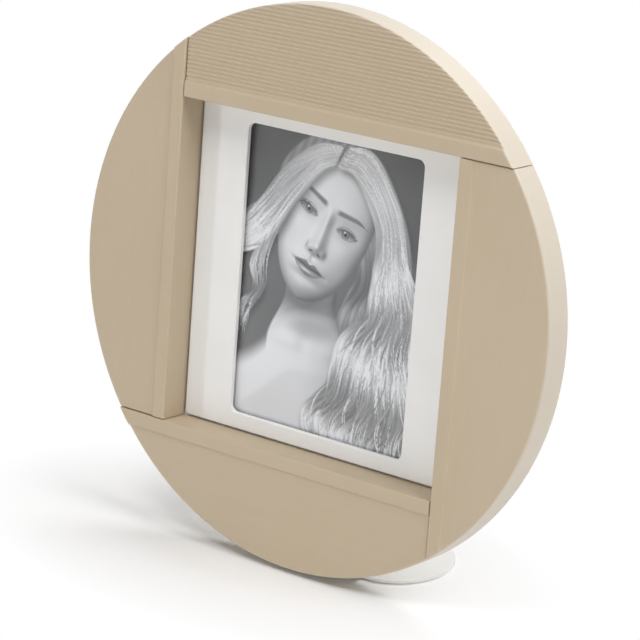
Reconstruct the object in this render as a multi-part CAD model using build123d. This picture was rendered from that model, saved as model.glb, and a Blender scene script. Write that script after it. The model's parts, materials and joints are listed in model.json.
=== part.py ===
from build123d import *
import math
import os

# Round standing photo frame. Sizes are in millimetres.
#
# Every piece is drawn in the disc's own frame: X to the right, Y up the disc's face
# and Z out of it, towards the viewer, with Z zero on the boards' main face.
# The last section leans the disc back and stands the whole frame on its foot.
# There X is to the right, Z is up, the front faces -Y, and the origin lies on the
# floor below the middle of the foot's plate.

# Photo, on which the whole frame is built
photo_width = 130.0
photo_height = 180.0
window_side_overlap = 2.25     # how far the window's sides cover the photo
window_end_overlap = 2.75      # and its top and bottom
window_corner_radius = 4.5
opening_margin = 8.0           # from the photo's ends to the opening's walls

# Disc of four boards
disc_corner_width = 26.4       # from the opening's corners to the rim
board_thickness = 19.0
board_gap = 0.5                # shadow gap in the butt joints between the boards
rim_front_ease = 1.2           # eased by two flats, near to a rounding of this radius
rim_rear_bevel = 0.8

# Raised lip along each board's inner edge
lip_width = 9.5
lip_height = 1.2
lip_arris_radius = 0.9         # rounding where the lip turns into the opening's wall
lip_slope_width = 1.4          # of the slope by which the lip drops to the main face
end_bevel = 0.4                # eased edge of the end that butts on the next board

# Fine flat-crowned reeds across the top board
reed_pitch = 2.42
reed_height = 0.5
reed_crown_width = 0.6
reed_slope_width = 0.6         # of each of a reed's two sides
reed_drop = 0.1                # from the boards' main face down to the reeds' crowns

# Loose tongue across each butt joint
tongue_width = 20.0            # half of it in each board
tongue_thickness = 4.0
tongue_edge_distance = 5.0     # from the opening's corner to the tongue
tongue_rim_distance = 4.0      # from the tongue's far corner to the rim
tongue_fit = 0.05              # on each face
tongue_end_gap = 0.3

# White panel behind the opening
field_height = 1.5             # how far its raised field stands into the opening
field_gap = 1.3                # open joint between the field and the opening's walls
groove_depth = 4.0             # by which that joint goes on into the flange
field_corner_radius = 3.0
panel_edge_bevel = 0.4         # on the face, round the field and round the window
flange_width = 12.0            # what lies on the boards' backs, beyond the opening
flange_corner_radius = 10.0
flange_edge_bevel = 1.0
window_lip = 2.7               # thickness left in front of the pane

# Photo pack in the panel's rebate
pack_clearance = 0.4           # on each side, between the pack and the rebate
pane_thickness = 2.0
print_thickness = 0.3
card_thickness = 2.0
backing_thickness = 3.0
rebate_corner_radius = 1.2
notch_radius = 9.0             # finger notch in the backing's long side

# Turn buttons
button_thickness = 1.2
button_eye_radius = 5.0        # rounded end round the screw
button_tip_radius = 3.4
button_length = 15.0           # from the screw to the centre of the tip
button_standoff = 11.0         # from the rebate's edge to the screw
button_end_distance = 38.0     # on the long sides, from the photo's ends
button_gap = 0.2               # under the button and under its screw's head
pivot_fit = 0.06               # radial clearance of the button on its screw

# Screws and staples
button_shank_radius = 1.5
button_head_radius = 3.4
button_head_height = 1.9
button_screw_cover = 2.0       # of the flange left ahead of the screw's hole
foot_shank_radius = 2.0
foot_head_radius = 4.0
foot_head_height = 2.5
foot_screw_cover = 5.5         # of the board left ahead of the screw's hole
screw_fit = 0.05               # radial clearance of a screw in its pilot hole
clearance_hole_fit = 0.25      # radial clearance where a screw passes the foot's flange
shank_end_gap = 0.5            # from a screw's or staple's end to the bottom of its hole
staple_crown = 10.0
staple_wire_width = 1.2
staple_wire_thickness = 0.9
staple_cover = 7.0             # of the board left ahead of the staple's holes
staple_fit = 0.05
staple_corner_distance = 38.0  # from the opening's corners to the staple's middle

# Foot, bent from one steel sheet
lean_angle = 6.73              # degrees that the disc leans back
foot_sheet = 1.5
foot_bend_radius = 0.8         # inside the bend
foot_width = 150.0
foot_depth = 67.0
foot_bend_inset = 1.5          # from the end of the plate's straight edge to the bend
foot_flange_clearance = 13.0   # from the top of the foot's flange to the panel's
foot_flange_corner_radius = 8.0
foot_screw_side_margin = 13.0
foot_screw_height = 24.0       # from the rim's lowest point, up the disc's back
pad_thickness = 0.8
pad_inset = 3.0

overrun = 5.0                  # how far a cutting tool runs past what it cuts
edge_tolerance = 0.01          # for picking the edges of a flat face

# Values worked out from the sizes above
window_width = photo_width - 2 * window_side_overlap
window_height = photo_height - 2 * window_end_overlap
opening_side = photo_height + 2 * opening_margin
half_opening = opening_side / 2
disc_radius = half_opening * math.sqrt(2) + disc_corner_width
board_back = -board_thickness
lip_outer = half_opening + lip_width
tongue_inner = half_opening + tongue_edge_distance
tongue_outer = math.sqrt((disc_radius - tongue_rim_distance) ** 2 - (half_opening + tongue_width / 2) ** 2)
panel_face = board_back + field_height
pane_front = panel_face - window_lip
print_front = pane_front - pane_thickness
card_front = print_front - print_thickness
backing_front = card_front - card_thickness
panel_back = backing_front - backing_thickness
flange_half = half_opening + flange_width
rebate_width = photo_width + 2 * pack_clearance
rebate_height = photo_height + 2 * pack_clearance
staple_line = (half_opening + flange_half) / 2
staple_offset = half_opening - staple_corner_distance
button_front = panel_back - button_gap
button_back = button_front - button_thickness
button_head_seat = button_back - button_gap
button_hole_end = board_back - button_screw_cover
button_height = photo_height / 2 - button_end_distance
side_pivot_x = rebate_width / 2 + button_standoff
end_pivot_y = rebate_height / 2 + button_standoff
foot_setback = (foot_bend_radius + foot_sheet) / math.tan(math.radians(90 - lean_angle) / 2)
rim_low_y = -foot_setback - foot_depth / 2
foot_flange_width = foot_width - foot_depth - 2 * foot_bend_inset
foot_flange_height = disc_radius - flange_half - foot_flange_clearance


def block(x_low, x_high, y_low, y_high, z_low, z_high):
    """A box given by its limits."""
    size = Box(x_high - x_low, y_high - y_low, z_high - z_low, align=(Align.MIN,) * 3)
    return Pos(x_low, y_low, z_low) * size


def rounded_plate(width, height, corner_radius, z_low, z_high):
    """A rounded rectangle centred on the Z axis, from z_low to z_high."""
    outline = RectangleRounded(width, height, corner_radius)
    return Pos(0, 0, z_low) * extrude(outline, z_high - z_low)


def rod(radius, z_low, z_high, x=0, y=0):
    """A round bar along Z."""
    return Pos(x, y, z_low) * Cylinder(radius, z_high - z_low, align=(Align.CENTER, Align.CENTER, Align.MIN))


def edges_at(solid, z):
    """The edges that lie wholly in the plane at height z."""
    return solid.edges().filter_by_position(Axis.Z, z - edge_tolerance, z + edge_tolerance)


def quarter_turns(item, turns):
    """The item turned clockwise about the disc's axis by so many quarters."""
    return Rot(0, 0, -90 * turns) * item


# Boards

def disc_blank(front):
    """The round blank, turned like a bar: front is the height of its flat face."""
    back = board_back
    ease = rim_front_ease
    middle = ease * (1 - math.sqrt(0.5))
    with BuildPart() as blank:
        with BuildSketch(Plane.XZ):
            with BuildLine():
                Polyline((0, front), (0, back), (disc_radius - rim_rear_bevel, back),
                         (disc_radius, back + rim_rear_bevel), (disc_radius, front - ease),
                         (disc_radius - middle, front - middle), (disc_radius - ease, front), close=True)
            make_face()
        revolve(axis=Axis.Z)
    return blank.part


def lip_strip():
    """The top board's lip strip at full depth, along X, before it is cut to the disc."""
    wall = half_opening
    crown = lip_height
    arris = lip_arris_radius
    with BuildPart() as strip:
        with BuildSketch(Plane.YZ.offset(-disc_radius)):
            with BuildLine():
                Polyline((wall, crown - arris), (wall, board_back), (lip_outer, board_back), (lip_outer, 0),
                         (lip_outer - lip_slope_width, crown), (wall + arris, crown))
                RadiusArc((wall + arris, crown), (wall, crown - arris), -arris)
            make_face()
        extrude(amount=2 * disc_radius)
    return strip.part


def reed_field():
    """What is cut off the top board's main face to leave reeds along X, the first one up against the lip."""
    count = math.ceil((disc_radius - lip_outer) / reed_pitch)
    crown = -reed_drop
    valley = crown - reed_height
    end = lip_outer + count * reed_pitch
    outline = [(end, valley), (end, overrun), (lip_outer, overrun), (lip_outer, crown)]
    for index in range(count):
        crown_end = lip_outer + index * reed_pitch + (reed_pitch + reed_crown_width) / 2
        next_crown = crown_end + reed_pitch - reed_crown_width
        outline += [(crown_end, crown), (crown_end + reed_slope_width, valley)]
        if index < count - 1:
            outline += [(next_crown - reed_slope_width, valley), (next_crown, crown)]
    with BuildPart() as cutter:
        with BuildSketch(Plane.YZ.offset(-disc_radius)):
            with BuildLine():
                Polyline(*outline, close=True)
            make_face()
        extrude(amount=2 * disc_radius)
    return cutter.part


def tongue_block(x_half, y_extra, z_half):
    """A block over the top board's left joint: half its width, what it adds at each end, half its depth."""
    middle = board_back / 2
    return block(-half_opening - x_half, -half_opening + x_half, tongue_inner - y_extra,
                 tongue_outer + y_extra, middle - z_half, middle + z_half)


def board_length(y_low, front):
    """From the butting end, whose front edge is eased, to past the rim."""
    board_end = board_gap - half_opening
    length = block(board_end, disc_radius, y_low, disc_radius, board_back, front)
    end_edge = edges_at(length, front).sort_by(Axis.X)[0]
    return chamfer(end_edge, end_bevel)


def top_board_stock():
    """The top board in place, with the slots of its two joints and staple holes, but without reeds."""
    main = disc_blank(0) & board_length(lip_outer - lip_slope_width, 0)
    lip = disc_blank(lip_height) & lip_strip() & board_length(half_opening, lip_height)
    slot = tongue_block(tongue_width / 2 + tongue_end_gap, tongue_end_gap, tongue_thickness / 2 + tongue_fit)
    # One slot opens in the board's own end, the other in its lower edge, where the next board butts.
    board = main + lip - slot - quarter_turns(slot, 1)
    for x in (-staple_offset, staple_offset):
        board -= Pos(x, staple_line, 0) * staple(staple_fit, shank_end_gap)
    return board


def reeded_board(stock):
    """The stock with its main face cut to reeds."""
    return stock - reed_field()


def foot_screw_places():
    """Centres of the foot's screws on the disc's back."""
    side = foot_flange_width / 2 - foot_screw_side_margin
    return [(-side, foot_screw_height - disc_radius), (side, foot_screw_height - disc_radius)]


def bottom_board(stock):
    """The stock in the bottom place, with pilot holes for the foot's screws."""
    board = quarter_turns(stock, 2)
    for x, y in foot_screw_places():
        board -= rod(foot_shank_radius + screw_fit, board_back - overrun, -foot_screw_cover, x, y)
    return board


def joint_tongues():
    """A loose tongue across each of the four butt joints."""
    tongue = tongue_block(tongue_width / 2, 0, tongue_thickness / 2)
    return Compound(children=[quarter_turns(tongue, turn) for turn in range(4)])


# Panel and photo pack

def button_places():
    """Name, centre and direction of each turn button, in degrees from +X."""
    return [
        ("turn_button_left_upper", -side_pivot_x, button_height, 0),
        ("turn_button_left_lower", -side_pivot_x, -button_height, 0),
        ("turn_button_right_upper", side_pivot_x, button_height, 180),
        ("turn_button_right_lower", side_pivot_x, -button_height, 180),
        ("turn_button_top", 0, end_pivot_y, -90),
        ("turn_button_bottom", 0, -end_pivot_y, 90),
    ]


def mat_panel():
    """White panel: field in the opening, groove round it, flange on the boards' backs, rebate behind."""
    field_side = opening_side - 2 * field_gap
    groove_radius = field_corner_radius + field_gap
    window = rounded_plate(window_width, window_height, window_corner_radius, panel_back, panel_face)
    rebate = rounded_plate(rebate_width, rebate_height, rebate_corner_radius,
                           panel_back - overrun, pane_front)
    field = rounded_plate(field_side, field_side, field_corner_radius, board_back, panel_face)
    field = chamfer(edges_at(field - window, panel_face), panel_edge_bevel)
    flange = rounded_plate(2 * flange_half, 2 * flange_half, flange_corner_radius, panel_back, board_back)
    flange = chamfer(edges_at(flange, panel_back), flange_edge_bevel)
    groove_end = board_back - groove_depth
    groove = rounded_plate(opening_side, opening_side, groove_radius, groove_end, board_back)
    groove -= rounded_plate(field_side, field_side, field_corner_radius, groove_end, board_back)
    panel = field + (flange - window - groove) - rebate
    for hole in placed_staples(staple_fit, shank_end_gap):
        panel -= hole
    for name, x, y, direction in button_places():
        panel -= rod(button_shank_radius + screw_fit, panel_back - overrun, button_hole_end, x, y)
    return panel


def pack_sheet(z_low, z_high):
    """One sheet of the photo pack, with square corners."""
    return block(-photo_width / 2, photo_width / 2, -photo_height / 2, photo_height / 2, z_low, z_high)


def backing_board():
    """Hardboard back with a finger notch in its right side."""
    notch = rod(notch_radius, panel_back - overrun, backing_front + overrun, photo_width / 2, 0)
    return pack_sheet(panel_back, backing_front) - notch


# Fasteners

def pan_head_screw(shank_radius, head_radius, head_height, seat, end):
    """A screw along Z: head behind the seat, shank forward to its end."""
    return rod(head_radius, seat - head_height, seat) + rod(shank_radius, seat, end)


def turn_button_screws():
    """Six pivot screws, each with a little play under its head."""
    screw = pan_head_screw(button_shank_radius, button_head_radius, button_head_height,
                           button_head_seat, button_hole_end - shank_end_gap)
    return Compound(children=[Pos(x, y, 0) * screw for name, x, y, direction in button_places()])


def foot_screws():
    """Two screws through the foot's flange into the bottom board."""
    screw = pan_head_screw(foot_shank_radius, foot_head_radius, foot_head_height,
                           board_back - foot_sheet, -foot_screw_cover - shank_end_gap)
    return Compound(children=[Pos(x, y, 0) * screw for x, y in foot_screw_places()])


def staple(fit, end_gap):
    """A staple along X with its crown flush in the flange's back, or the room that it needs."""
    width = staple_wire_width / 2 + fit
    outside = staple_crown / 2 + fit
    inside = staple_crown / 2 - staple_wire_thickness - fit
    crown = panel_back + staple_wire_thickness + fit
    tip = -staple_cover - shank_end_gap + end_gap
    with BuildPart() as wire:
        with BuildSketch(Plane.XZ.offset(-width)):
            with BuildLine():
                Polyline((-outside, panel_back), (-outside, tip), (-inside, tip), (-inside, crown),
                         (inside, crown), (inside, tip), (outside, tip), (outside, panel_back), close=True)
            make_face()
        extrude(amount=2 * width)
    return wire.part


def placed_staples(fit, end_gap):
    """Two staples through each side of the panel's flange."""
    pair = [Pos(x, staple_line, 0) * staple(fit, end_gap) for x in (-staple_offset, staple_offset)]
    return [quarter_turns(one, turn) for turn in range(4) for one in pair]


def panel_staples():
    return Compound(children=placed_staples(0, 0))


def turn_button(x, y, direction):
    """A stamped plate that narrows from its eye to its tip, pointing in the direction."""
    turn = math.asin((button_eye_radius - button_tip_radius) / button_length)
    side_x = math.sin(turn)
    side_y = math.cos(turn)
    eye = (button_eye_radius * side_x, button_eye_radius * side_y)
    tip = (button_length + button_tip_radius * side_x, button_tip_radius * side_y)
    with BuildPart() as plate:
        with BuildSketch():
            with BuildLine():
                Line(eye, tip)
                ThreePointArc(tip, (button_length + button_tip_radius, 0), (tip[0], -tip[1]))
                Line((tip[0], -tip[1]), (eye[0], -eye[1]))
                ThreePointArc((eye[0], -eye[1]), (-button_eye_radius, 0), eye)
            make_face()
            Circle(button_shank_radius + pivot_fit, mode=Mode.SUBTRACT)
        extrude(amount=button_thickness)
    return Pos(x, y, button_back) * Rot(0, 0, direction) * plate.part


# Foot

def foot_plate():
    """Pill-shaped plate that lies on its pad."""
    return Pos(0, 0, pad_thickness) * extrude(SlotOverall(foot_width, foot_depth), foot_sheet)


def foot_bend():
    """The sheet's bend, swept from the plate's front edge up to the disc's back."""
    centre_z = pad_thickness + foot_sheet + foot_bend_radius
    start = Pos(0, -foot_depth / 2, pad_thickness + foot_sheet / 2) * Rot(90, 0, 0)
    bend_axis = Axis((0, -foot_depth / 2, centre_z), (-1, 0, 0))
    return revolve(start * Rectangle(foot_flange_width, foot_sheet), bend_axis, 90 + lean_angle)


def foot_flange():
    """The part that lies flat on the disc's back, in the disc's frame."""
    height = foot_flange_height - foot_setback
    outline = Rectangle(foot_flange_width, height, align=(Align.CENTER, Align.MIN))
    outline = fillet(outline.vertices().group_by(Axis.Y)[-1], foot_flange_corner_radius)
    base = Pos(0, foot_setback - disc_radius, board_back - foot_sheet)
    flange = base * extrude(outline, foot_sheet)
    for x, y in foot_screw_places():
        hole = foot_shank_radius + clearance_hole_fit
        flange -= rod(hole, board_back - foot_sheet - overrun, board_back + overrun, x, y)
    return flange


def foot_bracket():
    """Plate, bend and flange of one steel sheet, in the standing frame."""
    return foot_plate() + foot_bend() + standing(foot_flange())


def foot_pad():
    """Thin pad under the plate, set in from its edge."""
    outline = SlotOverall(foot_width - 2 * pad_inset, foot_depth - 2 * pad_inset)
    return extrude(outline, pad_thickness)


# Standing the frame up

def standing(item):
    """Moves an item from the disc's frame to the standing object's frame."""
    lift = Pos(0, rim_low_y, pad_thickness) * Rot(90 - lean_angle, 0, 0)
    return lift * Pos(0, disc_radius, board_thickness) * item


def build():
    """Every piece by its name, in the standing object's frame."""
    stock = top_board_stock()
    pieces = {
        "left_board": quarter_turns(stock, 3),
        "top_board": reeded_board(stock),
        "right_board": quarter_turns(stock, 1),
        "bottom_board": bottom_board(stock),
        "joint_tongues": joint_tongues(),
        "mat_panel": mat_panel(),
        "panel_staples": panel_staples(),
        "glazing_pane": pack_sheet(print_front, pane_front),
        "photo_print": pack_sheet(card_front, print_front),
        "backing_card": pack_sheet(backing_front, card_front),
        "backing_board": backing_board(),
        "turn_button_screws": turn_button_screws(),
        "foot_screws": foot_screws(),
    }
    for name, x, y, direction in button_places():
        pieces[name] = turn_button(x, y, direction)
    placed = {name: standing(piece) for name, piece in pieces.items()}
    placed["foot_bracket"] = foot_bracket()
    placed["foot_pad"] = foot_pad()
    return placed


def main():
    os.makedirs("parts", exist_ok=True)
    for name, piece in build().items():
        export_step(piece, f"parts/{name}.step")


main()
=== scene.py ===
import json
import math

import bmesh
import bpy
import numpy as np
from mathutils import Matrix, Vector


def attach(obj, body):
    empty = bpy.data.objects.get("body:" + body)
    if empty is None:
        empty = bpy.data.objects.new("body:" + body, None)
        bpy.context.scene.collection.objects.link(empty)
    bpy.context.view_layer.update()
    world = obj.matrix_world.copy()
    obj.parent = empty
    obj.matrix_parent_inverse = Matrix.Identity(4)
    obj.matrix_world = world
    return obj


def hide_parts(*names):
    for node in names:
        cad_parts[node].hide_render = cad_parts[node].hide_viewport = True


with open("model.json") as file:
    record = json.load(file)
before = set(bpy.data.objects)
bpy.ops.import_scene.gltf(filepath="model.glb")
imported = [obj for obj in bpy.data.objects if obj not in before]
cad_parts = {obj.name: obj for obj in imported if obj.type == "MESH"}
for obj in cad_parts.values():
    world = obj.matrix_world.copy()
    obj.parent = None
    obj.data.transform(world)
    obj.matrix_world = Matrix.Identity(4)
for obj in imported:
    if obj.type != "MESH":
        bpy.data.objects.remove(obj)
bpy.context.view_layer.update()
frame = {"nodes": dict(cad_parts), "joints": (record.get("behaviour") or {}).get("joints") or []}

# Lengths are in metres, in the frame's own coordinates.
MM = 0.001

# The disc's own axes: to the right, up its face and out of its face
BACKWARD = Vector(frame["joints"][0]["axis"])
OUTWARD = -BACKWARD
ALONG = Vector((1, 0, 0))
UPWARD = OUTWARD.cross(ALONG)
LEAN = math.asin(OUTWARD.z)
AXES = np.array([ALONG, UPWARD, OUTWARD]).T

# Camera, as it stood for the photograph
IMAGE_SIZE = 640
FOCAL_PIXELS = 2914
SENSOR_WIDTH = 36
AZIMUTH = math.radians(37.87)
ELEVATION = math.radians(20.15)
DISC_CENTRE = Vector((0, -35.6, 166.9)) * MM
DISC_FROM_CAMERA = Vector((-8.37, -14.31, 1654.6)) * MM    # to the right, down and ahead

# Light
AMBIENT_FRONT = 0.27
AMBIENT_TOP = 0.08
BACKDROP = 1.0
WHITE = (1, 1, 1, 1)
LAMPS = [                       # name, direction, distance, size, level and whether gloss shows it
    ("key", (0.71, 0.00, 0.70), 2.2, 1.0, 0.60, True),
    ("overhead", (0.04, -0.42, 0.91), 2.2, 0.8, 0.33, True),
    ("back", (0.10, 0.60, 0.80), 2.2, 0.9, 0.43, True),
    ("side", (-0.64, -0.76, 0.08), 3.0, 0.26, 0.12, False),
    ("low", (-0.10, -1.00, -0.12), 0.8, 0.5, 0.17, False),
]
SHADOW_MIDDLE = (-0.04, -0.03)  # of the floor's patch that isn't plain white
SHADOW_REACH = (0.18, 0.10)
SHADOW_FADE = (0.45, 1.15)      # in reaches from the middle
FLOOR_PALE = (0.95, 0.945, 0.94, 1)
FLOOR_HALF = 6.0

# Colours, linear
LACQUER = (0.550, 0.449, 0.320)
LACQUER_DARK = (0.532, 0.432, 0.305)
# The rim's paler, less saturated colour is painted light: it stands in for the strong light falling
# on the rim
LACQUER_RIM_PAINTED_LIGHT = (0.620, 0.555, 0.460)
RIM_LIGHT_FADE = (163.9 * MM, 164.8 * MM)     # distances from the disc's axis, from face to rim
PANEL = ((0.880, 0.878, 0.868), (0.860, 0.858, 0.848))
COAT = ((0.90, 0.90, 0.875), (0.88, 0.88, 0.855))
FIBRE = ((0.125, 0.068, 0.036), (0.235, 0.140, 0.078))
FIBRE_PATCH = (0.18, 0.11, 0.066)
CARD = ((0.24, 0.23, 0.21), (0.34, 0.33, 0.31))
PLY = ((0.42, 0.27, 0.14), (0.60, 0.43, 0.26))
FOAM = ((0.55, 0.55, 0.54), (0.66, 0.66, 0.65))
NICKEL = (0.72, 0.69, 0.64)
ZINC = (0.66, 0.67, 0.68)
WIRE = (0.55, 0.55, 0.54)
WEAR = 0.86                     # of a metal's colour, where it is duller
PANE_CLEAR = (0.985, 0.99, 0.988, 1)
PANE_GLOSS = 0.03
PANE_MIRRORS = 0.016            # of the light that meets a face of the pane squarely
PANE_STEEPNESS = 5              # power by which it grows to a slanting sight

# The print's picture
STEP = 0.25                     # mm, spacing of the painted points
PRINT_SIZE = (130, 180)         # mm
HEAD_CENTRE = (-5.0, 38.0)      # mm, from the print's middle
HEAD_HALF = 51.0                # mm, half of the height from chin to crown
HEAD_TILT = np.radians(21)
PRINT_TINT = (0.97, 0.965, 1.0)
PRINT_DARK = (0.010, 0.010, 0.012)
PRINT_BACK = 0.8                # tone of the paper's edges and back
PRINT_GAP = 0.05 * MM           # behind the pane, so that the two faces don't coincide
SHEET_EVERY = 2                 # painted points to a point of the sheet
BACK_LOCKS = 90
LOOSE_LOCKS = 9
SIDE_LOCKS = 190
STRAY_LOCKS = 150
STRANDS = 22                    # across a lock
BANDS = 6                       # along a lock, in which its strands change

# Screws, in shares of the head's radius and height
DOME = 0.80                     # radius inside the rounded edge
SLOT_HALF = (0.155, 0.105)      # half width of a slot of the cross, at its mouth and its floor
SLOT_END = (0.60, 0.50)         # its reach, at its mouth and its floor
SLOT_DEEP = 0.72
SLOT_TURN = 0.4                 # radians, of the cross about the screw


def node(tree, kind, **values):
    """A shader node with some of its inputs or properties set."""
    made = tree.nodes.new(kind)
    for name, value in values.items():
        key = name.replace("_", " ")
        if key in made.inputs:
            made.inputs[key].default_value = value
        else:
            setattr(made, name, value)
    return made


def fill(tree, sockets, values):
    """Gives each socket its value, which is a constant or another socket."""
    for socket, value in zip(sockets, values):
        if isinstance(value, bpy.types.NodeSocket):
            tree.links.new(value, socket)
        else:
            socket.default_value = value


def maths(tree, operation, *values):
    """The result of a maths node on constants or sockets."""
    made = node(tree, "ShaderNodeMath", operation=operation)
    fill(tree, made.inputs, values)
    return made.outputs[0]


def vectors(tree, operation, *values):
    """The result of a vector node on constants or sockets."""
    made = node(tree, "ShaderNodeVectorMath", operation=operation)
    fill(tree, made.inputs, values)
    return made.outputs["Value" if operation in ("LENGTH", "DOT_PRODUCT") else "Vector"]


def mix_to_output(tree, kind, factor, first, second):
    """Leads two shaders, mixed by a factor, to the tree's output."""
    mix = node(tree, "ShaderNodeMixShader")
    fill(tree, mix.inputs, (factor, first.outputs[0], second.outputs[0]))
    output = next(n for n in tree.nodes if n.type == kind)
    tree.links.new(mix.outputs[0], output.inputs["Surface"])


class Finish:
    """A material that is built round one Principled shader."""

    def __init__(self, name):
        self.material = bpy.data.materials.new(name)
        self.material.use_nodes = True
        self.tree = self.material.node_tree
        self.shader = self.tree.nodes["Principled BSDF"]
        self.place = self.tree.nodes.new("ShaderNodeTexCoord").outputs["Object"]

    def link(self, source, target):
        self.tree.links.new(source, target)

    def set(self, **values):
        for name, value in values.items():
            self.shader.inputs[name.replace("_", " ")].default_value = value

    def noise(self, scale, detail=3.0, roughness=0.5, stretch=None):
        """Noise with features of about 1 / scale metres, stretched along an axis if asked."""
        made = node(self.tree, "ShaderNodeTexNoise",
                    Scale=scale, Detail=detail, Roughness=roughness)
        source = self.place
        if stretch:
            mapping = node(self.tree, "ShaderNodeMapping")
            mapping.inputs["Scale"].default_value = stretch
            mapping.inputs["Rotation"].default_value = (LEAN, 0, 0)
            self.link(source, mapping.inputs["Vector"])
            source = mapping.outputs["Vector"]
        self.link(source, made.inputs["Vector"])
        return made.outputs["Fac"]

    def spread(self, source, low, high, out_low=0.0, out_high=1.0):
        """The source's range from low to high, mapped to another range."""
        made = node(self.tree, "ShaderNodeMapRange",
                    From_Min=low, From_Max=high, To_Min=out_low, To_Max=out_high)
        self.link(source, made.inputs["Value"])
        return made.outputs["Result"]

    def blend(self, factor, first, second):
        """A colour between two, each a colour or a socket."""
        made = node(self.tree, "ShaderNodeMix", data_type="RGBA")
        self.link(factor, made.inputs["Factor"])
        for name, value in (("A", first), ("B", second)):
            socket = next(s for s in made.inputs if s.name == name and s.type == "RGBA")
            if isinstance(value, tuple):
                socket.default_value = (*value, 1)
            else:
                self.link(value, socket)
        return next(s for s in made.outputs if s.type == "RGBA")

    def colour(self, source):
        self.link(source, self.shader.inputs["Base Color"])

    def rough(self, source):
        self.link(source, self.shader.inputs["Roughness"])

    def bump(self, height, depth, strength=1.0):
        """A bump whose height goes from 0 to 1 over a depth in metres."""
        made = node(self.tree, "ShaderNodeBump", Strength=strength, Distance=depth)
        self.link(height, made.inputs["Height"])
        self.link(made.outputs["Normal"], self.shader.inputs["Normal"])


def radius_mask(finish, inner, outer):
    """From 0 to 1 between two distances from the disc's axis."""
    from_centre = vectors(finish.tree, "SUBTRACT", finish.place, DISC_CENTRE)
    across = vectors(finish.tree, "CROSS_PRODUCT", from_centre, OUTWARD)
    return finish.spread(vectors(finish.tree, "LENGTH", across), inner, outer)


def lacquer(name, stretch):
    """Matte lacquer on smooth board, with the faint run of the sanding under it and a rim painted
    paler as painted light.
    """
    finish = Finish(name)
    finish.set(Specular_IOR_Level=0.45)
    cloud = finish.noise(9, detail=2)
    streak = finish.noise(260, detail=4, roughness=0.6, stretch=stretch)
    tone = maths(finish.tree, "MULTIPLY", cloud, finish.spread(streak, 0.3, 0.7, 0.75, 1.25))
    front = finish.blend(finish.spread(tone, 0.35, 0.65), LACQUER, LACQUER_DARK)
    # Painted light: the rim gets the paler colour, for the strong light on it
    finish.colour(finish.blend(radius_mask(finish, *RIM_LIGHT_FADE), front, LACQUER_RIM_PAINTED_LIGHT))
    finish.rough(finish.spread(finish.noise(60), 0.3, 0.7, 0.40, 0.48))
    finish.bump(finish.noise(1400, detail=2), 0.04 * MM, 0.35)
    return finish.material


def white_lacquer():
    """Smooth matte white."""
    finish = Finish("panel_white")
    finish.set(Specular_IOR_Level=0.4)
    finish.colour(finish.blend(finish.spread(finish.noise(40), 0.35, 0.65), *PANEL))
    finish.rough(finish.spread(finish.noise(80), 0.3, 0.7, 0.42, 0.52))
    finish.bump(finish.noise(1600, detail=2), 0.03 * MM, 0.3)
    return finish.material


def powder_coat():
    """Satin white, with a fine orange peel."""
    finish = Finish("foot_paint")
    finish.set(Specular_IOR_Level=0.5)
    finish.colour(finish.blend(finish.spread(finish.noise(50), 0.35, 0.65), *COAT))
    finish.rough(finish.spread(finish.noise(300), 0.3, 0.7, 0.34, 0.44))
    finish.bump(finish.noise(1800, detail=1), 0.06 * MM, 0.4)
    return finish.material


def hardboard():
    """Brown pressed fibre, finely mottled and lightly felted."""
    finish = Finish("hardboard")
    fibre = finish.noise(900, detail=6, roughness=0.7)
    patch = finish.noise(35, detail=3)
    brown = finish.blend(finish.spread(fibre, 0.35, 0.68), *FIBRE)
    finish.colour(finish.blend(finish.spread(patch, 0.35, 0.7, 0.0, 0.35), brown, FIBRE_PATCH))
    finish.rough(finish.spread(fibre, 0.3, 0.7, 0.55, 0.8))
    finish.bump(fibre, 0.12 * MM, 0.5)
    return finish.material


def card():
    """Grey card with fine flecks."""
    finish = Finish("grey_card")
    fleck = finish.noise(1500, detail=5, roughness=0.8)
    finish.colour(finish.blend(finish.spread(fleck, 0.35, 0.65), *CARD))
    finish.rough(finish.spread(fleck, 0.3, 0.7, 0.8, 0.95))
    return finish.material


def plywood():
    """Bare wood, its grain along X."""
    finish = Finish("tongue_wood")
    grain = finish.noise(700, detail=5, roughness=0.65, stretch=(0.12, 1, 1))
    finish.colour(finish.blend(finish.spread(grain, 0.35, 0.65), *PLY))
    finish.rough(finish.spread(grain, 0.3, 0.7, 0.55, 0.7))
    return finish.material


def metal(name, base, low, high, grain):
    """Plated metal with a fine grain in its gloss."""
    finish = Finish(name)
    finish.set(Metallic=1.0)
    wear = finish.noise(grain, detail=4)
    dull = tuple(WEAR * c for c in base)
    finish.colour(finish.blend(finish.spread(wear, 0.35, 0.7), base, dull))
    finish.rough(finish.spread(wear, 0.3, 0.7, low, high))
    finish.bump(finish.noise(2500, detail=2), 0.01 * MM, 0.3)
    return finish.material


def foam():
    """Pale soft foam with fine cells."""
    finish = Finish("pad_foam")
    cell = finish.noise(1800, detail=3)
    finish.colour(finish.blend(finish.spread(cell, 0.35, 0.65), *FOAM))
    finish.rough(finish.spread(cell, 0.3, 0.7, 0.8, 0.95))
    return finish.material


def clear_pane():
    """Thin clear glass: it lets everything behind it show, and mirrors by the angle of sight."""
    finish = Finish("clear_pane")
    tree = finish.tree
    clear = node(tree, "ShaderNodeBsdfTransparent", Color=PANE_CLEAR)
    gloss = node(tree, "ShaderNodeBsdfGlossy", Color=WHITE, Roughness=PANE_GLOSS)
    # Alike from both sides of a face, where a Fresnel node mirrors slanting rays on their way out
    weight = node(tree, "ShaderNodeLayerWeight", Blend=0.5)
    steep = maths(tree, "POWER", weight.outputs["Facing"], PANE_STEEPNESS)
    mirrored = finish.spread(steep, 0, 1, PANE_MIRRORS, 1)
    mix_to_output(tree, "OUTPUT_MATERIAL", mirrored, clear, gloss)
    tree.nodes.remove(finish.shader)
    return finish.material


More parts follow.
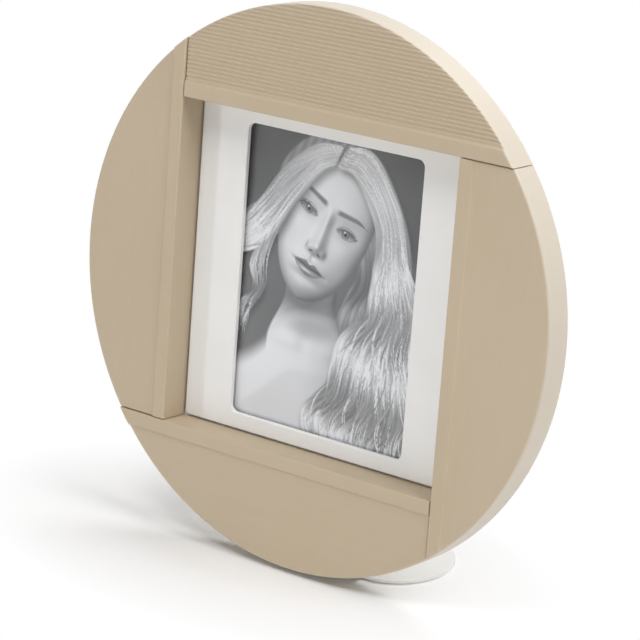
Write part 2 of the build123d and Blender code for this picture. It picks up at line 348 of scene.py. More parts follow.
def paper():
    """Silk photo paper with the picture's tones and a fine grain."""
    finish = Finish("print_paper")
    tone = node(finish.tree, "ShaderNodeVertexColor", layer_name="tone")
    grain = finish.spread(finish.noise(2200, detail=2), 0.2, 0.8, 0.985, 1.015)
    finish.colour(vectors(finish.tree, "MULTIPLY", tone.outputs["Color"], grain))
    finish.rough(finish.spread(finish.noise(120), 0.3, 0.7, 0.32, 0.35))
    return finish.material


print_paper = paper()

# Finish of every CAD node
level = lacquer("lacquer_level", (0.06, 1, 1))
upright = lacquer("lacquer_upright", (1, 1, 0.06))
nickel = metal("button_nickel", NICKEL, 0.22, 0.34, 900)
zinc = metal("screw_steel", ZINC, 0.28, 0.42, 1200)
wire = metal("staple_wire", WIRE, 0.35, 0.5, 1500)
FINISHES = {
    "left_board": upright, "right_board": upright, "top_board": level, "bottom_board": level,
    "joint_tongues": plywood(), "mat_panel": white_lacquer(), "panel_staples": wire,
    "glazing_pane": clear_pane(), "photo_print": print_paper, "backing_card": card(),
    "backing_board": hardboard(), "turn_button_screws": zinc, "foot_screws": zinc,
    "foot_bracket": powder_coat(), "foot_pad": foam(),
}
# The nodes that aren't named above are the six turn buttons
for name, item in frame["nodes"].items():
    item.data.materials.clear()
    item.data.materials.append(FINISHES.get(name, nickel))


def smooth(low, high, x):
    """0 up to low, 1 from high on and a soft step between, also where low is the greater."""
    t = np.clip((x - low) / (high - low), 0, 1)
    return t * t * (3 - 2 * t)


def bell(x, y, across, up):
    """A bump of height 1 at the origin."""
    return np.exp(-(x / across) ** 2 - (y / up) ** 2)


def soften(picture, width):
    """The picture blurred by a bell curve of a width in points."""
    margin = int(3 * width) + 1
    picture = np.pad(picture, margin, mode="edge")
    rows = np.fft.fftfreq(picture.shape[0])[:, None]
    columns = np.fft.rfftfreq(picture.shape[1])[None, :]
    pad = np.exp(-2 * (np.pi * width) ** 2 * (rows ** 2 + columns ** 2))
    return np.fft.irfft2(np.fft.rfft2(picture) * pad, picture.shape)[margin:-margin, margin:-margin]


def curve(places, count):
    """Evenly spread points on a smooth line through the places."""
    p = np.array(places, float)
    p = np.vstack([2 * p[0] - p[1], p, 2 * p[-1] - p[-2]])
    n = len(p) - 3
    t = np.linspace(0, n, count)
    i = np.minimum(t.astype(int), n - 1)
    f = (t - i)[:, None]
    a, b, c, d = p[i], p[i + 1], p[i + 2], p[i + 3]
    square, cube = 2 * a - 5 * b + 4 * c - d, 3 * b - a - 3 * c + d
    return 0.5 * (2 * b + (c - a) * f + square * f ** 2 + cube * f ** 3)


class Picture:
    """Tones on a grid of points over the print."""

    def __init__(self):
        wide = int(PRINT_SIZE[0] / STEP) + 1
        tall = int(PRINT_SIZE[1] / STEP) + 1
        self.x, self.y = np.meshgrid(np.linspace(-PRINT_SIZE[0] / 2, PRINT_SIZE[0] / 2, wide),
                                     np.linspace(PRINT_SIZE[1] / 2, -PRINT_SIZE[1] / 2, tall))
        self.tone = np.zeros_like(self.x)
        self.random = np.random.default_rng(7)

    def lay(self, tone, cover):
        """Paint over the picture, wholly where the cover is 1."""
        self.tone = self.tone * (1 - cover) + tone * cover

    def head(self):
        """Coordinates on the upright head, of which half its height is 1."""
        x, y = self.x - HEAD_CENTRE[0], self.y - HEAD_CENTRE[1]
        c, s = np.cos(HEAD_TILT), np.sin(HEAD_TILT)
        return (x * c - y * s) / HEAD_HALF, (x * s + y * c) / HEAD_HALF

    def on_print(self, p, q):
        """A place on the head, in millimetres on the print."""
        c, s = np.cos(HEAD_TILT), np.sin(HEAD_TILT)
        return (HEAD_CENTRE[0] + HEAD_HALF * (p * c + q * s),
                HEAD_CENTRE[1] + HEAD_HALF * (q * c - p * s))


def lit(height, scale, light, ambient=0.42, key=0.68):
    """Soft light on a height map."""
    dy, dx = np.gradient(height, scale)
    dy = -dy
    length = np.sqrt(1 + dx ** 2 + dy ** 2)
    light = np.array(light) / np.linalg.norm(light)
    shine = (-dx * light[0] - dy * light[1] + light[2]) / length
    return ambient * (0.55 + 0.45 / length) + key * np.clip(0.12 + 0.88 * shine, 0, None)


def face_width(q):
    """Half width of the face at a height."""
    lower = 0.63 * np.clip(1 - np.abs(np.minimum(q - 0.12, 0) / 1.13) ** 2.3, 0, 1) ** 0.54
    upper = 0.63 * np.sqrt(np.clip(1 - (np.maximum(q - 0.12, 0) / 0.95) ** 2.4, 0, 1))
    return np.where(q < 0.12, lower, upper)


def face_height(p, q):
    """The relief of a plain, symmetric face at rest."""
    a = np.abs(p)
    w = np.maximum(face_width(q), 0.02)
    round_chin = np.clip(1 - np.clip((-0.40 - q) / 0.62, 0, 1) ** 3, 0, 1) ** 0.5
    z = 0.50 * np.clip(1.02 - (a / w) ** 2.2, 0.0, 1.02) ** 0.5 * round_chin
    z = z - 0.16 * np.clip(q - 0.30, 0, 1) ** 2 - 0.10 * np.clip(-0.62 - q, 0, 1) ** 1.5
    z += 0.05 * bell(a - 0.40, q + 0.20, 0.20, 0.20)                 # cheekbones
    z -= 0.030 * bell(a - 0.40, q + 0.52, 0.16, 0.22)                # hollows under them
    z -= 0.085 * bell(a - 0.285, q - 0.035, 0.20, 0.115)             # eye sockets
    z -= 0.030 * bell(a - 0.10, q - 0.05, 0.07, 0.10)                # corners beside the nose
    z += 0.030 * bell(a - 0.27, q - 0.24, 0.26, 0.07)                # brow ridge
    ridge = smooth(0.30, 0.0, q) * smooth(-0.47, -0.33, q)
    span = 0.060 + 0.030 * smooth(0.05, -0.35, q)
    z += (0.05 + 0.12 * smooth(0.22, -0.34, q)) * ridge * np.exp(-(p / span) ** 2)
    z += 0.060 * bell(p, q + 0.335, 0.085, 0.070)                    # tip of the nose
    z += 0.062 * bell(a - 0.105, q + 0.365, 0.042, 0.048)            # its wings
    z -= 0.030 * bell(p, q + 0.475, 0.030, 0.060)                    # furrow over the lip
    z += 0.045 * bell(p, q + 0.60, 0.27, 0.16)                       # mouth's mound
    z += 0.040 * bell(p, q + 0.555, 0.19, 0.036)                     # upper lip
    z += 0.055 * bell(p, q + 0.655, 0.155, 0.042)                    # lower lip
    z -= 0.045 * bell(p, q + 0.600, 0.22, 0.013)                     # line between them
    z -= 0.008 * bell(a - 0.245, q + 0.60, 0.045, 0.045)             # corners
    z -= 0.040 * bell(p, q + 0.745, 0.18, 0.045)                     # dip under the lip
    z += 0.055 * bell(p, q + 0.875, 0.17, 0.11)                      # chin
    return z


def eye(picture, p, q, side):
    """An open eye, at rest, on the eye line."""
    e = (p * side - 0.285) / 0.140             # -1 at the inner corner, 1 at the outer
    r = q / 0.140 - 0.07 * e
    inside = np.abs(e) < 1
    arch = np.clip(1 - e ** 2, 0, 1)
    top = 0.44 * arch ** 0.62 * (1 + 0.10 * e)
    low = -0.27 * arch ** 0.80 * (1 - 0.12 * e)
    open_ = smooth(0, 0.10, top - r) * smooth(0, 0.10, r - low) * inside
    ball = 0.52 - 0.30 * np.clip(np.abs(e) - 0.15, 0, 1) ** 1.2
    ball = ball - 0.30 * smooth(-0.20, 0.36, r - 0.15 * (1 - arch))
    d = np.hypot(e, r - 0.10)
    iris = 0.16 + 0.14 * smooth(0.40, 0.05, d)
    iris = iris + 0.10 * smooth(0.15, -0.35, r) * smooth(0.10, 0.25, d)
    iris = iris * (1 - 0.80 * smooth(0.30, 0.375, d))
    tone = ball * smooth(0.36, 0.41, d) + iris * (1 - smooth(0.36, 0.41, d))
    tone = tone * smooth(0.13, 0.19, d) + 0.012 * (1 - smooth(0.13, 0.19, d))
    glint = smooth(0.095, 0.055, np.hypot(e + 0.13 * side, r - 0.24))
    tone = tone * (1 - glint) + 0.95 * glint
    tone *= 1 - 0.55 * smooth(0.16, 0.0, top - r)
    picture.lay(np.clip(tone, 0.01, 1), open_)
    # Lash line above, soft line below and the fold of the lid
    reach = smooth(-1.08, -0.95, e) * smooth(1.25, 1.0, e)
    arch_out = np.clip(1 - (e / 1.12) ** 2, 0, 1)
    line = 0.47 * arch_out ** 0.62 * (1 + 0.10 * e) - 0.03
    thick = 0.060 + 0.050 * smooth(-0.6, 0.9, e)
    picture.lay(0.015, 0.95 * reach * smooth(thick, thick * 0.35, np.abs(r - line)))
    wing = smooth(0.10, 0.03, np.abs(r - (0.10 + 0.42 * (e - 0.95))))
    picture.lay(0.03, 0.8 * wing * smooth(0.9, 1.0, e) * smooth(1.38, 1.12, e))
    under = smooth(-0.8, 0.2, e) * smooth(1.05, 0.9, e)
    picture.lay(0.06, 0.55 * under * smooth(0.07, 0.02, np.abs(r - low + 0.02)))
    fold = 0.66 * np.clip(1 - (e / 1.15) ** 2, 0, 1) ** 0.62 + 0.04 * e
    lid = smooth(-1.1, -0.6, e) * smooth(1.15, 0.7, e)
    picture.lay(0.12, 0.55 * lid * smooth(0.085, 0.01, np.abs(r - fold)))
    shade = smooth(0.66, 0.40, r - 0.05 * e) * smooth(0.2, 0.45, r) * smooth(1.5, 0.6, np.abs(e))
    picture.lay(0.22, 0.25 * shade)
    # Lashes
    for t in np.arange(22) / 21:
        e0 = -0.75 + 1.75 * t
        r0 = 0.47 * max(1 - (e0 / 1.12) ** 2, 0) ** 0.62 * (1 + 0.10 * e0)
        length = 0.08 + 0.16 * t
        lean = -0.5 + 1.6 * t
        s = (r - r0) / length
        bend = e0 + (lean * 0.16) * s + 0.05 * s ** 2
        hair = smooth(-0.1, 0.0, s) * smooth(1.0, 0.6, s)
        picture.lay(0.03, 0.60 * hair * smooth(0.035, 0.012, np.abs(e - bend)))


def brow(picture, p, q, side):
    """A level brow that falls softly to its outer end."""
    e = (p * side - 0.30) / 0.22
    rise = 0.226 + 0.036 * e - 0.062 * np.clip(e - 0.15, 0, 2) ** 1.7
    thick = 0.036 * (1 - 0.15 * e) * smooth(1.16, 0.2, e)
    d = (q - rise) / np.maximum(thick, 0.004)
    hair = 0.93 + 0.07 * np.sin(p * side * 190 - q * 150 * (1 - 0.6 * e))
    cover = smooth(1.15, 0.35, np.abs(d)) * smooth(-1.12, -0.80, e) * smooth(1.16, 0.95, e)
    picture.lay(0.09, 0.86 * cover * hair)


def lips(picture, p, q):
    """Closed lips, at rest."""
    a = np.abs(p)
    line = -0.602 - 0.010 * bell(p, 0, 0.05, 1) + 0.004 * smooth(0.10, 0.24, a)
    arch = np.clip(1 - (a / 0.240) ** 2.1, 0, 1)
    top = line + 0.066 * arch ** 0.85
    top = top - 0.016 * bell(p, 0, 0.035, 1) + 0.010 * bell(a - 0.060, 0, 0.045, 1)
    low = line - 0.098 * np.clip(1 - (a / 0.222) ** 2.2, 0, 1) ** 0.75
    upper = smooth(0, 0.012, top - q) * smooth(-0.004, 0.004, q - line) * (a < 0.240)
    lower = smooth(0, 0.014, q - low) * smooth(-0.004, 0.004, line - q) * (a < 0.222)
    crease = 0.90 + 0.10 * np.sin(p * 150 + 3 * np.sin(q * 40)) * np.sin(p * 67)
    shape = lit(0.5 * face_height(p, q), STEP / HEAD_HALF, (-0.3, 0.7, 0.8), 0.5, 0.6)
    picture.lay(0.230 * shape * crease, 0.92 * upper)
    shine = 0.55 * bell(p + 0.03, q + 0.648, 0.09, 0.014)
    picture.lay(0.340 * shape * crease + shine * crease, 0.92 * lower)
    gap = smooth(0.013, 0.003, np.abs(q - line)) * smooth(0.238, 0.15, a)
    picture.lay(0.030, 0.85 * gap)
    picture.lay(0.20, 0.40 * bell(a - 0.240, q + 0.597, 0.022, 0.020))


def nose(picture, p, q):
    """The nostrils and the lights of the ridge and the tip."""
    a = np.abs(p)
    hole = bell(a - 0.060, q + 0.405 + 0.25 * (a - 0.060), 0.032, 0.0145)
    picture.lay(0.03, np.clip(1.25 * hole - 0.15, 0, 0.92))
    picture.lay(0.16, 0.55 * bell(a - 0.140, q + 0.365, 0.012, 0.045))
    picture.lay(0.20, 0.40 * bell(p, q + 0.425, 0.085, 0.016))
    picture.lay(0.95, 0.45 * bell(p + 0.012, q + 0.315, 0.028, 0.026))
    picture.lay(0.85, 0.22 * bell(p + 0.010, q + 0.10, 0.018, 0.16))


def skin(picture):
    """Face, neck and shoulders."""
    p, q = picture.head()
    x, y = picture.x, picture.y
    # Neck and shoulders, as a height map in millimetres
    shoulder_line = -18 - 30 * (1 - smooth(-66, -18, x)) - 26 * smooth(14, 62, x)
    body = smooth(0, 14, shoulder_line - y)
    neck_x = (x + 13 - 0.10 * (y + 10)) / (19.0 + 9 * smooth(-8, -38, y))
    neck = smooth(1.0, 0.93, np.abs(neck_x)) * smooth(6, -2, y)
    z = 16 * np.clip(1 - np.clip(np.abs(neck_x), 0, 1) ** 2.4, 0, 1) ** 0.5 * smooth(-36, -14, y)
    z = z + 20 * np.clip((shoulder_line - y) / 34, 0, 1) ** 0.5
    z += 2.4 * bell(y + 39 + 0.16 * (x + 10), 0, 4.5, 1) * smooth(-3, -14, x) * smooth(-56, -40, x)
    z += 2.4 * bell(y + 39 - 0.10 * (x + 10), 0, 4.5, 1) * smooth(-8, 4, x)
    z -= 2.5 * bell(x + 15, y + 38, 6, 6)
    z = soften(z, 6)
    flesh = 0.86 * lit(z, STEP, (-0.45, 0.60, 0.75), 0.36, 0.74)
    chin_x, chin_y = picture.on_print(0.0, -0.80)
    drop = bell(x - chin_x - 1, y - chin_y + 9, 24, 13)
    flesh *= (1 - 0.74 * np.clip(drop * 1.15, 0, 1)) * (1 - 0.30 * smooth(-20, 14, x))
    picture.lay(flesh, np.maximum(body, neck))
    # Face
    edge = face_width(q)
    z = soften(face_height(p, q), 1.6)
    tone = 0.78 * lit(z, STEP / HEAD_HALF, (-0.42, 0.36, 0.80), 0.38, 0.78)
    tone *= 1 - 0.20 * bell(np.abs(p) - 0.285, q - 0.02, 0.17, 0.10)
    tone *= 1 - 0.10 * smooth(-0.55, -1.0, q)
    tone = 0.85 * tone + 0.15 * soften(tone, 10)
    hairline = 0.72 - 0.62 * p ** 2
    cover = smooth(0.0, 0.030, edge - np.abs(p)) * (q > -1.02) * smooth(0.04, -0.05, q - hairline)
    tone *= 1 - 0.35 * smooth(-0.16, 0.02, q - hairline)
    tone *= 1 - 0.30 * smooth(0.16, 0.0, edge - np.abs(p))
    picture.lay(tone, cover)
    nose(picture, p, q)
    lips(picture, p, q)
    for side in (-1, 1):
        eye(picture, p, q, side)
        brow(picture, p, q, side)


def normals(x, y):
    """Unit normals of a line of points."""
    dx, dy = np.gradient(x), np.gradient(y)
    n = np.hypot(dx, dy) + 1e-9
    return -dy / n, dx / n


def lock(picture, line, width, phase, turns, swing, base, random, ragged=0.35):
    """One wavy lock of hair: rows, columns, tones and covers of the points it meets."""
    spacing = STEP * 0.6
    steps = int(np.sum(np.hypot(*np.diff(line, axis=0).T)) / spacing) + 2
    t = np.linspace(0, 1, steps)
    at = np.linspace(0, 1, len(line))
    cx, cy = np.interp(t, at, line[:, 0]), np.interp(t, at, line[:, 1])
    nx, ny = normals(cx, cy)
    grow = smooth(0.10, 0.65, t)
    wave = 2 * np.pi * turns * t ** 1.05 + phase
    cx, cy = cx + swing * grow * np.sin(wave) * nx, cy + swing * grow * np.sin(wave) * ny
    nx, ny = normals(cx, cy)
    size = width * (0.35 + 0.65 * smooth(0, 0.25, t)) * (1 - 0.85 * smooth(0.72, 1, t))
    s = np.linspace(-1, 1, max(int(2 * width / spacing), 6))
    noise = random.random((BANDS + 1, STRANDS)) * 0.62 + 0.38 * random.random(STRANDS)
    band = t * BANDS
    i0 = np.minimum(band.astype(int), BANDS - 1)
    f = (band - i0)[:, None]
    f = f * f * (3 - 2 * f)
    column = (s * 0.5 + 0.5) * (STRANDS - 1)
    j0 = np.minimum(column.astype(int), STRANDS - 2)
    g = (column - j0)[None, :]
    first, last = (noise[i][:, j0] * (1 - g) + noise[i][:, j0 + 1] * g for i in (i0, i0 + 1))
    strand = first * (1 - f) + last * f
    facing = np.cos(wave + 0.9)[:, None]
    shine = (0.5 + 0.5 * facing) ** 2.2 * grow[:, None] + (1 - grow[:, None]) * 0.55
    round_ = np.sqrt(np.clip(1 - (s[None, :] + 0.12) ** 2 / 1.3, 0, 1))
    tone = base * (0.12 + 0.88 * round_ ** 1.4) * (0.44 + 0.56 * strand) * (0.52 + 1.22 * shine)
    edge = smooth(0, ragged, (1 - np.abs(s))[None, :] + 0.30 * (strand - 0.6))
    cover = edge * smooth(0, 0.03, t)[:, None]
    cover = cover * (1 - smooth(0.90, 1.0, t)[:, None] * 0.8)
    px = cx[:, None] + nx[:, None] * s[None, :] * size[:, None]
    py = cy[:, None] + ny[:, None] * s[None, :] * size[:, None]
    columns = np.rint((px + PRINT_SIZE[0] / 2) / STEP).astype(int)
    rows = np.rint((PRINT_SIZE[1] / 2 - py) / STEP).astype(int)
    tall, wide = picture.x.shape
    ok = (columns >= 0) & (columns < wide) & (rows >= 0) & (rows < tall)
    return rows[ok], columns[ok], tone[ok], cover[ok]


def paint_lock(picture, mask, *args, **options):
    """Paint one lock, and add its cover to the mask if there is one."""
    rows, columns, tones, covers = lock(picture, *args, **options)
    if not len(rows):
        return
    part = slice(rows.min(), rows.max() + 1), slice(columns.min(), columns.max() + 1)
    cover, tone = np.zeros_like(picture.tone), np.zeros_like(picture.tone)
    cover[rows, columns] = covers
    tone[rows, columns] = tones
    picture.tone[part] = picture.tone[part] * (1 - cover[part]) + tone[part] * cover[part]
    if mask is not None:
        mask[part] = np.maximum(mask[part], cover[part])


# Ways of the hair on the print, in mm: the inner and the outer one of each side
HAIR_RIGHT = (
    [(0, 73), (15, 70), (31, 50), (37, 22), (33, -4), (20, -28), (6, -55), (-4, -80), (-8, -100)],
    [(6, 84), (24, 81), (41, 58), (52, 30), (59, 2), (62, -34), (62, -64), (60, -88), (56, -108)],
)
HAIR_LEFT = (
    [(-2, 73), (-15, 66), (-29, 50), (-40, 33), (-54, 18), (-72, 8)],
    [(4, 84), (-15, 80), (-36, 65), (-52, 44), (-65, 29), (-82, 16)],
)
HAIR_LOOSE = (
    [(-36, 40), (-42, 22), (-47, 4), (-50, -12), (-57, -30), (-66, -46)],
    [(-44, 32), (-52, 18), (-58, 2), (-57, -14), (-64, -26), (-72, -38)],
)


def hair_path(ways, lane, random):
    """A lock's way between the inner one, lane 0, and the outer one, lane 1."""
    inner, outer = np.array(ways[0], float), np.array(ways[1], float)
    path = inner * (1 - lane) + outer * lane
    spread = np.linspace(0, 1, len(path))[:, None]
    near = random.normal(0, 0.4, path.shape)
    far = random.normal(0, 1.6, path.shape)
    return curve(path + near + far * spread, 160)


def paint():
    """The print's tones: a head and shoulders with long wavy hair before a dark ground."""
    picture = Picture()
    random = picture.random
    x, y = picture.x, picture.y
    picture.tone = 0.085 + 0.09 * smooth(10, -60, x) * smooth(60, 0, y) + 0.02 * smooth(-30, 90, y)
    picture.tone *= 1 + 0.10 * soften(random.normal(0, 1, x.shape), 40) * 40
    # Hair behind the neck, and the crown's underlayer
    p, q = picture.head()
    crown = smooth(1.03, 0.98, np.hypot(p / 0.84, (q - 0.14) / 0.92))
    picture.lay(0.30 + 0.05 * np.sin(p * 60), crown * smooth(0.1, 0.3, q))
    picture.lay(0.16, smooth(-4, 6, x) * smooth(10, 30, 40 - y))
    for _ in range(BACK_LOCKS):
        lane = random.uniform(0.0, 1.0)
        path = hair_path(HAIR_RIGHT, lane, random)
        paint_lock(picture, None, path - [16 * (1 - lane), 0], random.uniform(3, 6),
                   1.2 + random.normal(0, 0.4), 5.2, 2.5, 0.34, random)
    skin(picture)
    # The same locks twice: first to find where they lie, then over the shadow that they cast
    body = picture.tone.copy()
    state = random.bit_generator.state
    for shaded in (False, True):
        random.bit_generator.state = state
        if shaded:
            shadow = np.pad(soften(mask, 8), ((9, 0), (5, 0)), mode="edge")[:-9, :-5]
            picture.tone = body * (1 - 0.55 * np.clip(shadow * 1.25, 0, 1))
        mask = np.zeros_like(picture.tone)
        for _ in range(LOOSE_LOCKS):
            path = hair_path(HAIR_LOOSE, random.random(), random)
            paint_lock(picture, mask, path, random.uniform(0.8, 2.0), random.normal(0, 0.6),
                       2.2, 2.4, random.uniform(0.45, 0.75), random)
        for i in range(SIDE_LOCKS):
            lane = np.clip(1 - (i + random.random() * 40) / SIDE_LOCKS, -0.03, 1)
            phase = 0.8 + random.normal(0, 0.30) - 1.2 * lane
            if i % 3 == 0:
                path = hair_path(HAIR_LEFT, lane, random)
                paint_lock(picture, mask, path, random.uniform(2.4, 4.6), phase,
                           0.9, 0.8, random.uniform(0.62, 1.0), random)
            else:
                path = hair_path(HAIR_RIGHT, lane, random)
                width = random.uniform(2.4, 5.6)
                swing = (2.6 + 1.6 * (1 - lane)) * random.uniform(0.7, 1.25)
                paint_lock(picture, mask, path, width, phase,
                           4.2, swing, random.uniform(0.60, 1.0), random)
    for i in range(STRAY_LOCKS):
        lane = random.uniform(-0.04, 1.08)
        width, tone = random.uniform(0.35, 0.8), random.uniform(0.7, 1.15)
        if i % 3 == 0:
            path = hair_path(HAIR_LEFT, lane, random)
            phase, turns, swing = random.normal(0.6, 0.8), 0.9, 0.8
        elif i % 10 == 1:
            path = hair_path(HAIR_LOOSE, lane, random)
            phase, turns, swing, tone = random.normal(0.6, 0.8), 2.2, 2.6, tone * 0.8
        else:
            path = hair_path(HAIR_RIGHT, lane, random)
            phase, turns, swing = random.normal(0.6, 0.8), 4.2, random.uniform(1.6, 4.4)
        paint_lock(picture, None, path, width, phase, turns, swing, tone, random, ragged=0.9)
    return np.clip(picture.tone, 0.004, 0.93)


def axes_box(name):
    """Lowest and highest corner of a CAD node along the disc's own axes."""
    points = np.array([v.co for v in frame["nodes"][name].data.vertices]) @ AXES
    return points.min(axis=0), points.max(axis=0)


def add_object(name, mesh, material, node_name):
    """A piece of the body frame, in the place of a CAD node."""
    piece = bpy.data.objects.new(name, mesh)
    bpy.context.scene.collection.objects.link(piece)
    mesh.materials.append(material)
    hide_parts(node_name)
    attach(piece, "frame")


def add_print():
    """The print as a fine sheet, whose points carry the picture's tones."""
    low, high = axes_box("photo_print")
    tones = paint()[::SHEET_EVERY, ::SHEET_EVERY]
    rows, columns = tones.shape
    u, v = np.meshgrid(np.linspace(low[0], high[0], columns),
                       np.linspace(high[1], low[1], rows))
    front = np.stack([u, v, np.full_like(u, high[2] - PRINT_GAP)], axis=-1).reshape(-1, 3)
    index = np.arange(rows * columns).reshape(rows, columns)
    corners = [index[:-1, :-1], index[1:, :-1], index[1:, 1:], index[:-1, 1:]]
    quads = np.stack(corners, axis=-1).reshape(-1, 4)
    border = np.concatenate([index[0, :-1], index[:-1, -1], index[-1, :0:-1], index[:0:-1, 0]])
    back = front[border]
    back[:, 2] = low[2]
    count, first = len(border), rows * columns
    after = np.roll(np.arange(count), -1)
    sides = np.stack([border, border[after], first + after, first + np.arange(count)], axis=-1)
    faces = quads.tolist() + sides.tolist() + [list(range(first, first + count))]
    mesh = bpy.data.meshes.new("photo_print_sheet")
    mesh.from_pydata((np.concatenate([front, back]) @ AXES.T).tolist(), [], faces)
    layer = mesh.color_attributes.new("tone", "FLOAT_COLOR", "POINT")
    values = np.ones((first + count, 4), np.float32)
    grey = np.full((first + count, 1), PRINT_BACK)
    grey[:first, 0] = tones.reshape(-1)
    values[:, :3] = grey * np.array(PRINT_TINT) + (1 - grey) * np.array(PRINT_DARK)
    layer.data.foreach_set("color", values.reshape(-1))
    mesh.validate()
    add_object("photo_print_sheet", mesh, print_paper, "photo_print")


def screw_islands(name):
    """The points of each screw of a CAD node, along the disc's own axes."""
    graph = bmesh.new()
    graph.from_mesh(frame["nodes"][name].data)
    bmesh.ops.remove_doubles(graph, verts=graph.verts, dist=1e-6)
    left, islands = set(graph.verts), []
    while left:
        stack, found = [left.pop()], []
        while stack:
            vertex = stack.pop()
            found.append(np.array(vertex.co) @ AXES)
            for edge in vertex.link_edges:
                other = edge.other_vert(vertex)
                if other in left:
                    left.remove(other)
                    stack.append(other)
        islands.append(np.array(found))
    graph.free()
    return islands


def screw_mesh(points, around=64):
    """A screw with a domed head and a cross recess, as large as a plain CAD one.

    Its head faces the back.
    """
    low, high = points.min(axis=0), points.max(axis=0)
    centre = (low[:2] + high[:2]) / 2
    radial = np.hypot(*(points[:, :2] - centre).T)
    head = radial.max()
    top, under = low[2], points[radial > 0.8 * head][:, 2].max()
    shank = radial[points[:, 2] > under + MM].max()
    tall = under - top
    angle = np.arange(around) * 2 * np.pi / around
    rings = []

    def ring(radius, depth):
        rings.append((np.full(around, radius), np.full(around, depth)))

    ring(shank * 0.55, high[2])
    ring(shank, high[2] - 0.6 * shank)
    ring(shank, under)
    ring(head * 0.97, under)
    for t in np.linspace(0, 1, 9):
        turn = t * np.pi / 2
        ring(head * (DOME + (1 - DOME) * np.cos(turn)), under - tall * (0.18 + 0.50 * np.sin(turn)))
    for r in np.linspace(DOME, 0.02, 24):
        dome = under - tall * (0.68 + 0.32 * (1 - (r / DOME) ** 2))
        turned = angle + SLOT_TURN
        x, y = np.abs(r * np.cos(turned)), np.abs(r * np.sin(turned))
        slots = [smooth(*SLOT_HALF, a) * smooth(*SLOT_END, b) for a, b in ((x, y), (y, x))]
        deep = np.maximum(*slots) * (1 - 0.45 * r / SLOT_END[0])
        rings.append((np.full(around, r * head), dome + SLOT_DEEP * tall * deep))
    verts, faces = [], []
    for radius, depth in rings:
        for a, r, d in zip(angle, radius, depth):
            place = [centre[0] + r * np.cos(a), centre[1] + r * np.sin(a), d]
            verts.append(np.array(place) @ AXES.T)
    for i in range(0, (len(rings) - 1) * around, around):
        for j in range(around):
            k = (j + 1) % around
            faces.append((i + j, i + k, i + around + k, i + around + j))
    faces.append(tuple(range(around - 1, -1, -1)))
    last = (len(rings) - 1) * around
    faces.append(tuple(range(last, last + around)))
    return verts, faces


def add_screws(name):
    """All screws of a CAD node, as one piece."""
    verts, faces = [], []
    for points in screw_islands(name):
        v, f = screw_mesh(points)
        faces += [tuple(i + len(verts) for i in face) for face in f]
        verts += v
    mesh = bpy.data.meshes.new(name + "_crossed")
    mesh.from_pydata([tuple(v) for v in verts], [], faces)
    graph = bmesh.new()
    graph.from_mesh(mesh)
    bmesh.ops.recalc_face_normals(graph, faces=graph.faces)
    graph.to_mesh(mesh)
    graph.free()
    for polygon in mesh.polygons:
        polygon.use_smooth = len(polygon.vertices) == 4
    mesh.set_sharp_from_angle(angle=math.radians(40))
    add_object(name + "_crossed", mesh, zinc, name)


def add_floor():
    """A plain pale floor, which keeps the object's shadow."""
    mesh = bpy.data.meshes.new("floor")
    corners = ((-1, -1), (1, -1), (1, 1), (-1, 1))
    mesh.from_pydata([(FLOOR_HALF * x, FLOOR_HALF * y, 0) for x, y in corners], [], [(0, 1, 2, 3)])
    floor = bpy.data.objects.new("floor", mesh)
    bpy.context.scene.collection.objects.link(floor)
    finish = Finish("floor")
    tree = finish.tree
    finish.set(Base_Color=FLOOR_PALE, Roughness=0.7, Specular_IOR_Level=0.0)
    white = node(tree, "ShaderNodeEmission", Color=WHITE, Strength=BACKDROP)
    scale = (*(1 / reach for reach in SHADOW_REACH), 0)
    shift = (*(-middle / reach for middle, reach in zip(SHADOW_MIDDLE, SHADOW_REACH)), 0)
    from_middle = vectors(tree, "MULTIPLY_ADD", finish.place, scale, shift)
    away = finish.spread(vectors(tree, "LENGTH", from_middle), *SHADOW_FADE)
    factor = maths(tree, "MULTIPLY", away, seen_ray(tree))
    mix_to_output(tree, "OUTPUT_MATERIAL", factor, finish.shader, white)
    mesh.materials.append(finish.material)


def seen_ray(tree):
    """1 where the camera sees the surface, directly, mirrored or through glass."""
    path = node(tree, "ShaderNodeLightPath")
    seen = path.outputs["Is Camera Ray"]
    for name in ("Is Glossy Ray", "Is Transmission Ray"):
        seen = maths(tree, "MAXIMUM", seen, path.outputs[name])
    return seen


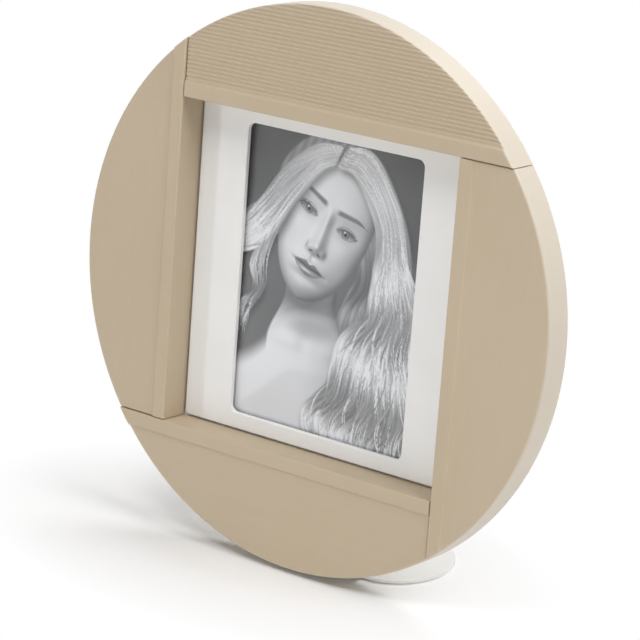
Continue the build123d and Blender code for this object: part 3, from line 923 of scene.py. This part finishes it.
def add_world():
    """Soft light from the front and from above. What is seen directly, or mirrored, is white."""
    world = bpy.data.worlds.new("studio")
    bpy.context.scene.world = world
    world.use_nodes = True
    tree = world.node_tree
    ambient = next(n for n in tree.nodes if n.type == "BACKGROUND")
    ambient.inputs["Color"].default_value = WHITE
    direction = tree.nodes.new("ShaderNodeTexCoord").outputs["Generated"]
    lobes = [maths(tree, "MAXIMUM", vectors(tree, "DOT_PRODUCT", direction, strength), 0)
             for strength in ((0, -AMBIENT_FRONT, 0), (0, 0, AMBIENT_TOP))]
    tree.links.new(maths(tree, "ADD", *lobes), ambient.inputs["Strength"])
    white = node(tree, "ShaderNodeBackground", Color=WHITE, Strength=BACKDROP)
    mix_to_output(tree, "OUTPUT_WORLD", seen_ray(tree), ambient, white)


def add_lamp(name, direction, distance, size, level, shown):
    """A square lamp that would light a white card facing it to the level given."""
    data = bpy.data.lights.new(name, "AREA")
    data.shape = "SQUARE"
    data.size = size
    data.energy = level * math.pi ** 2 * distance ** 2
    lamp = bpy.data.objects.new(name, data)
    lamp.location = DISC_CENTRE + direction.normalized() * distance
    lamp.rotation_mode = "QUATERNION"
    lamp.rotation_quaternion = direction.to_track_quat("Z", "Y")
    lamp.visible_camera = False
    lamp.visible_glossy = shown
    bpy.context.scene.collection.objects.link(lamp)


def add_camera():
    """The fitted camera, with the disc's middle where the photograph has it."""
    right = Vector((math.cos(AZIMUTH), math.sin(AZIMUTH), 0))
    ahead = Vector((-math.sin(AZIMUTH) * math.cos(ELEVATION),
                    math.cos(AZIMUTH) * math.cos(ELEVATION),
                    -math.sin(ELEVATION)))
    up = right.cross(ahead)
    data = bpy.data.cameras.new("camera")
    data.sensor_width = SENSOR_WIDTH
    data.lens = FOCAL_PIXELS / IMAGE_SIZE * SENSOR_WIDTH
    camera = bpy.data.objects.new("camera", data)
    offset = DISC_FROM_CAMERA
    place = DISC_CENTRE - (offset.x * right - offset.y * up + offset.z * ahead)
    turn = Matrix((right, up, -ahead)).transposed().to_4x4()
    camera.matrix_world = Matrix.Translation(place) @ turn
    bpy.context.scene.collection.objects.link(camera)
    bpy.context.scene.camera = camera


add_print()
add_screws("turn_button_screws")
add_screws("foot_screws")
add_floor()
add_world()
for name, direction, *rest in LAMPS:
    add_lamp(name, Vector(direction), *rest)
add_camera()
bpy.context.scene.view_settings.view_transform = "Standard"
